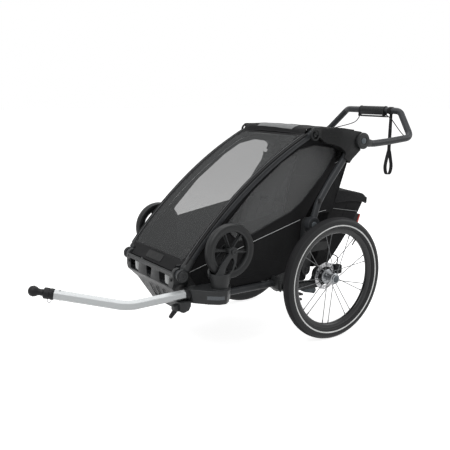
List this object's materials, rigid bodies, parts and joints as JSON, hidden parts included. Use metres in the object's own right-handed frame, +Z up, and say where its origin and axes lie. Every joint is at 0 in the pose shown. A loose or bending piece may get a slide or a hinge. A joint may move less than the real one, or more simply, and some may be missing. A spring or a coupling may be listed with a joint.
{
  "type": "child bike trailer",
  "caption": "Enclosed child bike trailer with spoked side wheels, a folding hoop frame, a tow arm, a tilting push handle and stowed stroller wheels.",
  "frame": {"origin": "on the ground, at the middle of the trailer's length and width", "axes": "+Z up, -Y towards the tow hitch, +X towards the trailer's left side, which carries the tow arm"},
  "size_m": [0.646, 1.6656, 0.9267],
  "materials": {
    "frame_tube": "satin dark grey powder coat",
    "dark_plastic": "moulded, fine grain, charcoal",
    "black_fabric": "coated woven polyester, near black",
    "window_mesh": "open insect mesh, dark grey",
    "tyre_rubber": "dark grey rubber with a pale reflective band",
    "grip_rubber": "soft matt foam rubber",
    "wheel_alloy": "charcoal anodised",
    "disc_steel": "ground stainless steel",
    "arm_aluminium": "clear anodised",
    "button_grey": "blue grey moulded plastic",
    "webbing": "woven webbing, near black",
    "cable_jacket": "smooth black cable jacket"
  },
  "bodies": {
    "base": {"base_frame": "frame_tube", "floor_panel": "black_fabric", "front_bumper": "dark_plastic", "hitch_receiver": "dark_plastic", "seat_cushion": "black_fabric", "harness": "webbing", "wing_left": "dark_plastic", "rear_bracket_left": "dark_plastic", "side_panel_left": "black_fabric", "wing_right": "dark_plastic", "rear_bracket_right": "dark_plastic", "side_panel_right": "black_fabric"},
    "front_frame": {"front_hoop": "frame_tube", "front_cover": "window_mesh"},
    "rear_frame": {"rear_hoop": "frame_tube", "roof_panel": "black_fabric", "back_panel": "window_mesh", "cargo_bag": "black_fabric", "side_bracket_left": "dark_plastic", "side_bracket_right": "dark_plastic"},
    "bag_lid": {"bag_lid": "black_fabric"},
    "knee_links": {"knee_link_left": "dark_plastic", "knee_link_right": "dark_plastic"},
    "handlebar": {"handlebar_tube": "frame_tube", "handlebar_grip": "grip_rubber", "wrist_strap": "webbing", "handlebar_hub_left": "dark_plastic", "brake_cable_left": "cable_jacket", "handlebar_hub_right": "dark_plastic", "brake_cable_right": "cable_jacket"},
    "brake_lever": {"brake_lever": "dark_plastic"},
    "parking_pedal": {"parking_pedal": "dark_plastic"},
    "hitch_arm": {"hitch_arm": "arm_aluminium"},
    "hitch_coupler": {"hitch_coupler": "dark_plastic"},
    "receiver_latch": {"receiver_latch": "dark_plastic"},
    "hub_button_left": {"hub_button_left": "button_grey"},
    "knee_button_left": {"knee_button_left": "button_grey"},
    "axle_button_left": {"axle_button_left": "button_grey"},
    "suspension_left": {"suspension_arm_left": "dark_plastic", "brake_caliper_left": "dark_plastic", "brake_line_left": "cable_jacket"},
    "suspension_adjuster_left": {"suspension_adjuster_left": "button_grey"},
    "main_wheel_left": {"tyre_left": "tyre_rubber", "main_wheel_left": "wheel_alloy", "brake_disc_left": "disc_steel"},
    "stroller_fork_left": {"stroller_fork_left": "dark_plastic"},
    "stroller_wheel_left": {"stroller_wheel_left": "grip_rubber"},
    "hub_button_right": {"hub_button_right": "button_grey"},
    "knee_button_right": {"knee_button_right": "button_grey"},
    "axle_button_right": {"axle_button_right": "button_grey"},
    "suspension_right": {"suspension_arm_right": "dark_plastic", "brake_caliper_right": "dark_plastic", "brake_line_right": "cable_jacket"},
    "suspension_adjuster_right": {"suspension_adjuster_right": "button_grey"},
    "main_wheel_right": {"tyre_right": "tyre_rubber", "main_wheel_right": "wheel_alloy", "brake_disc_right": "disc_steel"},
    "stroller_fork_right": {"stroller_fork_right": "dark_plastic"},
    "stroller_wheel_right": {"stroller_wheel_right": "grip_rubber"}
  },
  "joints": [
    {"name": "fold_front", "type": "hinge", "parent": "base", "child": "front_frame", "pos_m": [0, -0.3273, 0.339], "axis": [1, 0, 0], "range_deg": [-21, 0], "deforming": ["seat_cushion", "harness", "side_panel_left", "side_panel_right", "cargo_bag", "wrist_strap", "brake_line_left", "brake_line_right"]},
    {"name": "fold_top", "type": "hinge", "parent": "front_frame", "child": "rear_frame", "pos_m": [0, 0.2677, 0.8232], "axis": [1, 0, 0], "range_deg": [-36.66, 0], "deforming": ["seat_cushion", "harness", "side_panel_left", "side_panel_right", "cargo_bag", "wrist_strap", "brake_line_left", "brake_line_right"]},
    {"name": "fold_knee", "type": "hinge", "parent": "base", "child": "knee_links", "pos_m": [0, 0.2477, 0.279], "axis": [1, 0, 0], "range_deg": [0, 54.92], "deforming": ["seat_cushion", "harness", "side_panel_left", "side_panel_right", "cargo_bag", "wrist_strap", "brake_line_left", "brake_line_right"]},
    {"name": "bag_lid_hinge", "type": "hinge", "parent": "rear_frame", "child": "bag_lid", "pos_m": [0, 0.43653, 0.59], "axis": [1, 0, 0], "range_deg": [0, 70]},
    {"name": "handlebar_tilt", "type": "hinge", "parent": "rear_frame", "child": "handlebar", "pos_m": [0, 0.5007, 0.7935], "axis": [1, 0, 0], "range_deg": [-60, 75], "deforming": ["wrist_strap"]},
    {"name": "brake_lever_pull", "type": "hinge", "parent": "handlebar", "child": "brake_lever", "pos_m": [0, 0.7907, 0.8825], "axis": [1, 0, 0], "range_deg": [0, 18], "stiffness_Nm_per_rad": 1.5, "springref_deg": -6.88},
    {"name": "parking_brake", "type": "hinge", "parent": "base", "child": "parking_pedal", "pos_m": [0, 0.1917, 0.222], "axis": [1, 0, 0], "range_deg": [-25, 0]},
    {"name": "hitch_pull_out", "type": "slide", "parent": "base", "child": "hitch_arm", "axis": [0.0333, -0.9994, -0.0125], "range_m": [0, 0.08]},
    {"name": "coupler_swivel", "type": "hinge", "parent": "hitch_arm", "child": "hitch_coupler", "pos_m": [0.07219, -0.78027, 0.31667], "axis": [-0.527, -0.8322, 0.1724], "continuous": true},
    {"name": "receiver_latch_turn", "type": "hinge", "parent": "base", "child": "receiver_latch", "pos_m": [0.213, -0.3513, 0.2235], "axis": [1, 0, 0], "range_deg": [-40, 0], "stiffness_Nm_per_rad": 0.05, "springref_deg": 5.73},
    {"name": "hub_button_press_left", "type": "slide", "parent": "handlebar", "child": "hub_button_left", "axis": [-1, 0, 0], "range_m": [0, 0.003], "stiffness_N_per_m": 300, "springref_m": -0.004},
    {"name": "knee_button_press_left", "type": "slide", "parent": "rear_frame", "child": "knee_button_left", "axis": [-1, 0, 0], "range_m": [0, 0.003], "stiffness_N_per_m": 300, "springref_m": -0.004},
    {"name": "axle_button_press_left", "type": "slide", "parent": "main_wheel_left", "child": "axle_button_left", "axis": [-1, 0, 0], "range_m": [0, 0.003], "stiffness_N_per_m": 300, "springref_m": -0.004},
    {"name": "suspension_travel_left", "type": "hinge", "parent": "base", "child": "suspension_left", "pos_m": [0, 0.1367, 0.222], "axis": [1, 0, 0], "range_deg": [0, 8], "stiffness_Nm_per_rad": 100, "springref_deg": -14.32, "deforming": ["brake_line_left"]},
    {"name": "adjuster_slide_left", "type": "slide", "parent": "suspension_left", "child": "suspension_adjuster_left", "axis": [0, 0.9994, -0.0345], "range_m": [-0.03, 0.01]},
    {"name": "wheel_spin_left", "type": "hinge", "parent": "suspension_left", "child": "main_wheel_left", "pos_m": [0.2995, 0.3267, 0.25], "axis": [1, 0, 0], "continuous": true},
    {"name": "fork_lift_out_left", "type": "slide", "parent": "base", "child": "stroller_fork_left", "axis": [0, 0, 1], "range_m": [0, 0.06]},
    {"name": "stroller_wheel_spin_left", "type": "hinge", "parent": "stroller_fork_left", "child": "stroller_wheel_left", "pos_m": [0.27, -0.1613, 0.422], "axis": [1, 0, 0], "continuous": true},
    {"name": "hub_button_press_right", "type": "slide", "parent": "handlebar", "child": "hub_button_right", "axis": [1, 0, 0], "range_m": [0, 0.003], "stiffness_N_per_m": 300, "springref_m": -0.004},
    {"name": "knee_button_press_right", "type": "slide", "parent": "rear_frame", "child": "knee_button_right", "axis": [1, 0, 0], "range_m": [0, 0.003], "stiffness_N_per_m": 300, "springref_m": -0.004},
    {"name": "axle_button_press_right", "type": "slide", "parent": "main_wheel_right", "child": "axle_button_right", "axis": [1, 0, 0], "range_m": [0, 0.003], "stiffness_N_per_m": 300, "springref_m": -0.004},
    {"name": "suspension_travel_right", "type": "hinge", "parent": "base", "child": "suspension_right", "pos_m": [0, 0.1367, 0.222], "axis": [1, 0, 0], "range_deg": [0, 8], "stiffness_Nm_per_rad": 100, "springref_deg": -14.32, "deforming": ["brake_line_right"]},
    {"name": "adjuster_slide_right", "type": "slide", "parent": "suspension_right", "child": "suspension_adjuster_right", "axis": [0, 0.9994, -0.0345], "range_m": [-0.03, 0.01]},
    {"name": "wheel_spin_right", "type": "hinge", "parent": "suspension_right", "child": "main_wheel_right", "pos_m": [-0.2995, 0.3267, 0.25], "axis": [1, 0, 0], "continuous": true},
    {"name": "fork_lift_out_right", "type": "slide", "parent": "base", "child": "stroller_fork_right", "axis": [0, 0, 1], "range_m": [0, 0.06]},
    {"name": "stroller_wheel_spin_right", "type": "hinge", "parent": "stroller_fork_right", "child": "stroller_wheel_right", "pos_m": [-0.27, -0.1613, 0.422], "axis": [1, 0, 0], "continuous": true}
  ],
  "couplings": [
    {"joint": "fold_top", "follows": "fold_front", "ratio": 1.7435},
    {"joint": "fold_knee", "follows": "fold_front", "ratio": -2.6127}
  ]
}
